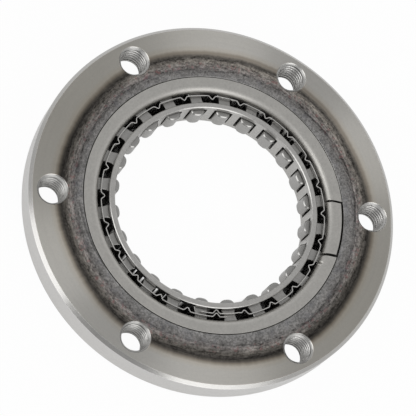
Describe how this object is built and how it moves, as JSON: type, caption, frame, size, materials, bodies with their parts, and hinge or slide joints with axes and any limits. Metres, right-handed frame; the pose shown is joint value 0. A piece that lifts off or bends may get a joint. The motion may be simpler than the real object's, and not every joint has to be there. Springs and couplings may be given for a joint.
{
  "type": "sprag clutch",
  "caption": "One-way sprag clutch: a steel ring with tapped holes round a double-cage ring of tilting sprags and their ribbon spring.",
  "frame": {"origin": "on the clutch axis, in the plane of the cages' back ends, on which the part lies", "axes": "+Z along the clutch axis, towards the mounting face with the cage flange; +X through a bolt hole"},
  "size_m": [0.1, 0.1, 0.0103],
  "materials": {
    "ground_steel": "ground faces with a dark heat-tinted band round the hardened race",
    "cage_steel": "satin drawn sheet steel",
    "inner_cage_steel": "satin, with bright rounded rims",
    "spring_steel": "bright thin strip",
    "sprag_steel": "hardened, satin"
  },
  "bodies": {
    "housing": {"housing": "ground_steel"},
    "outer_cage": {"outer_cage": "cage_steel"},
    "inner_cage": {"inner_cage": "inner_cage_steel"},
    "ribbon_spring": {"ribbon_spring": "spring_steel"},
    "sprag_01": {"sprag_01": "sprag_steel"},
    "sprag_02": {"sprag_02": "sprag_steel"},
    "sprag_03": {"sprag_03": "sprag_steel"},
    "sprag_04": {"sprag_04": "sprag_steel"},
    "sprag_05": {"sprag_05": "sprag_steel"},
    "sprag_06": {"sprag_06": "sprag_steel"},
    "sprag_07": {"sprag_07": "sprag_steel"},
    "sprag_08": {"sprag_08": "sprag_steel"},
    "sprag_09": {"sprag_09": "sprag_steel"},
    "sprag_10": {"sprag_10": "sprag_steel"},
    "sprag_11": {"sprag_11": "sprag_steel"},
    "sprag_12": {"sprag_12": "sprag_steel"},
    "sprag_13": {"sprag_13": "sprag_steel"},
    "sprag_14": {"sprag_14": "sprag_steel"},
    "sprag_15": {"sprag_15": "sprag_steel"},
    "sprag_16": {"sprag_16": "sprag_steel"},
    "sprag_17": {"sprag_17": "sprag_steel"},
    "sprag_18": {"sprag_18": "sprag_steel"},
    "sprag_19": {"sprag_19": "sprag_steel"},
    "sprag_20": {"sprag_20": "sprag_steel"},
    "sprag_21": {"sprag_21": "sprag_steel"},
    "sprag_22": {"sprag_22": "sprag_steel"},
    "sprag_23": {"sprag_23": "sprag_steel"},
    "sprag_24": {"sprag_24": "sprag_steel"}
  },
  "joints": [
    {"name": "cage_spin", "type": "hinge", "parent": "housing", "child": "outer_cage", "pos_m": [0, 0, 0], "axis": [0, 0, 1], "continuous": true},
    {"name": "inner_cage_shift", "type": "hinge", "parent": "outer_cage", "child": "inner_cage", "pos_m": [0, 0, 0], "axis": [0, 0, -1], "range_deg": [0, 0.9], "stiffness_Nm_per_rad": 0.5},
    {"name": "ribbon_shift", "type": "hinge", "parent": "outer_cage", "child": "ribbon_spring", "pos_m": [0, 0, 0], "axis": [0, 0, 1], "range_deg": [0, 0.35]},
    {"name": "sprag_01_tilt", "type": "hinge", "parent": "outer_cage", "child": "sprag_01", "pos_m": [0.02937, 0.00493, 0], "axis": [0, 0, 1], "range_deg": [0, 12]},
    {"name": "sprag_02_tilt", "type": "hinge", "parent": "outer_cage", "child": "sprag_02", "pos_m": [0.0271, 0.01237, 0], "axis": [0, 0, 1], "range_deg": [0, 12]},
    {"name": "sprag_03_tilt", "type": "hinge", "parent": "outer_cage", "child": "sprag_03", "pos_m": [0.02297, 0.01896, 0], "axis": [0, 0, 1], "range_deg": [0, 12]},
    {"name": "sprag_04_tilt", "type": "hinge", "parent": "outer_cage", "child": "sprag_04", "pos_m": [0.01728, 0.02426, 0], "axis": [0, 0, 1], "range_deg": [0, 12]},
    {"name": "sprag_05_tilt", "type": "hinge", "parent": "outer_cage", "child": "sprag_05", "pos_m": [0.01042, 0.0279, 0], "axis": [0, 0, 1], "range_deg": [0, 12]},
    {"name": "sprag_06_tilt", "type": "hinge", "parent": "outer_cage", "child": "sprag_06", "pos_m": [0.00284, 0.02965, 0], "axis": [0, 0, 1], "range_deg": [0, 12]},
    {"name": "sprag_07_tilt", "type": "hinge", "parent": "outer_cage", "child": "sprag_07", "pos_m": [-0.00493, 0.02937, 0], "axis": [0, 0, 1], "range_deg": [0, 12]},
    {"name": "sprag_08_tilt", "type": "hinge", "parent": "outer_cage", "child": "sprag_08", "pos_m": [-0.01237, 0.0271, 0], "axis": [0, 0, 1], "range_deg": [0, 12]},
    {"name": "sprag_09_tilt", "type": "hinge", "parent": "outer_cage", "child": "sprag_09", "pos_m": [-0.01896, 0.02297, 0], "axis": [0, 0, 1], "range_deg": [0, 12]},
    {"name": "sprag_10_tilt", "type": "hinge", "parent": "outer_cage", "child": "sprag_10", "pos_m": [-0.02426, 0.01728, 0], "axis": [0, 0, 1], "range_deg": [0, 12]},
    {"name": "sprag_11_tilt", "type": "hinge", "parent": "outer_cage", "child": "sprag_11", "pos_m": [-0.0279, 0.01042, 0], "axis": [0, 0, 1], "range_deg": [0, 12]},
    {"name": "sprag_12_tilt", "type": "hinge", "parent": "outer_cage", "child": "sprag_12", "pos_m": [-0.02965, 0.00284, 0], "axis": [0, 0, 1], "range_deg": [0, 12]},
    {"name": "sprag_13_tilt", "type": "hinge", "parent": "outer_cage", "child": "sprag_13", "pos_m": [-0.02937, -0.00493, 0], "axis": [0, 0, 1], "range_deg": [0, 12]},
    {"name": "sprag_14_tilt", "type": "hinge", "parent": "outer_cage", "child": "sprag_14", "pos_m": [-0.0271, -0.01237, 0], "axis": [0, 0, 1], "range_deg": [0, 12]},
    {"name": "sprag_15_tilt", "type": "hinge", "parent": "outer_cage", "child": "sprag_15", "pos_m": [-0.02297, -0.01896, 0], "axis": [0, 0, 1], "range_deg": [0, 12]},
    {"name": "sprag_16_tilt", "type": "hinge", "parent": "outer_cage", "child": "sprag_16", "pos_m": [-0.01728, -0.02426, 0], "axis": [0, 0, 1], "range_deg": [0, 12]},
    {"name": "sprag_17_tilt", "type": "hinge", "parent": "outer_cage", "child": "sprag_17", "pos_m": [-0.01042, -0.0279, 0], "axis": [0, 0, 1], "range_deg": [0, 12]},
    {"name": "sprag_18_tilt", "type": "hinge", "parent": "outer_cage", "child": "sprag_18", "pos_m": [-0.00284, -0.02965, 0], "axis": [0, 0, 1], "range_deg": [0, 12]},
    {"name": "sprag_19_tilt", "type": "hinge", "parent": "outer_cage", "child": "sprag_19", "pos_m": [0.00493, -0.02937, 0], "axis": [0, 0, 1], "range_deg": [0, 12]},
    {"name": "sprag_20_tilt", "type": "hinge", "parent": "outer_cage", "child": "sprag_20", "pos_m": [0.01237, -0.0271, 0], "axis": [0, 0, 1], "range_deg": [0, 12]},
    {"name": "sprag_21_tilt", "type": "hinge", "parent": "outer_cage", "child": "sprag_21", "pos_m": [0.01896, -0.02297, 0], "axis": [0, 0, 1], "range_deg": [0, 12]},
    {"name": "sprag_22_tilt", "type": "hinge", "parent": "outer_cage", "child": "sprag_22", "pos_m": [0.02426, -0.01728, 0], "axis": [0, 0, 1], "range_deg": [0, 12]},
    {"name": "sprag_23_tilt", "type": "hinge", "parent": "outer_cage", "child": "sprag_23", "pos_m": [0.0279, -0.01042, 0], "axis": [0, 0, 1], "range_deg": [0, 12]},
    {"name": "sprag_24_tilt", "type": "hinge", "parent": "outer_cage", "child": "sprag_24", "pos_m": [0.02965, -0.00284, 0], "axis": [0, 0, 1], "range_deg": [0, 12]}
  ],
  "couplings": [
    {"joint": "ribbon_shift", "follows": "inner_cage_shift", "ratio": 0.37},
    {"joint": "sprag_01_tilt", "follows": "inner_cage_shift", "ratio": 13.3},
    {"joint": "sprag_02_tilt", "follows": "inner_cage_shift", "ratio": 13.3},
    {"joint": "sprag_03_tilt", "follows": "inner_cage_shift", "ratio": 13.3},
    {"joint": "sprag_04_tilt", "follows": "inner_cage_shift", "ratio": 13.3},
    {"joint": "sprag_05_tilt", "follows": "inner_cage_shift", "ratio": 13.3},
    {"joint": "sprag_06_tilt", "follows": "inner_cage_shift", "ratio": 13.3},
    {"joint": "sprag_07_tilt", "follows": "inner_cage_shift", "ratio": 13.3},
    {"joint": "sprag_08_tilt", "follows": "inner_cage_shift", "ratio": 13.3},
    {"joint": "sprag_09_tilt", "follows": "inner_cage_shift", "ratio": 13.3},
    {"joint": "sprag_10_tilt", "follows": "inner_cage_shift", "ratio": 13.3},
    {"joint": "sprag_11_tilt", "follows": "inner_cage_shift", "ratio": 13.3},
    {"joint": "sprag_12_tilt", "follows": "inner_cage_shift", "ratio": 13.3},
    {"joint": "sprag_13_tilt", "follows": "inner_cage_shift", "ratio": 13.3},
    {"joint": "sprag_14_tilt", "follows": "inner_cage_shift", "ratio": 13.3},
    {"joint": "sprag_15_tilt", "follows": "inner_cage_shift", "ratio": 13.3},
    {"joint": "sprag_16_tilt", "follows": "inner_cage_shift", "ratio": 13.3},
    {"joint": "sprag_17_tilt", "follows": "inner_cage_shift", "ratio": 13.3},
    {"joint": "sprag_18_tilt", "follows": "inner_cage_shift", "ratio": 13.3},
    {"joint": "sprag_19_tilt", "follows": "inner_cage_shift", "ratio": 13.3},
    {"joint": "sprag_20_tilt", "follows": "inner_cage_shift", "ratio": 13.3},
    {"joint": "sprag_21_tilt", "follows": "inner_cage_shift", "ratio": 13.3},
    {"joint": "sprag_22_tilt", "follows": "inner_cage_shift", "ratio": 13.3},
    {"joint": "sprag_23_tilt", "follows": "inner_cage_shift", "ratio": 13.3},
    {"joint": "sprag_24_tilt", "follows": "inner_cage_shift", "ratio": 13.3}
  ]
}
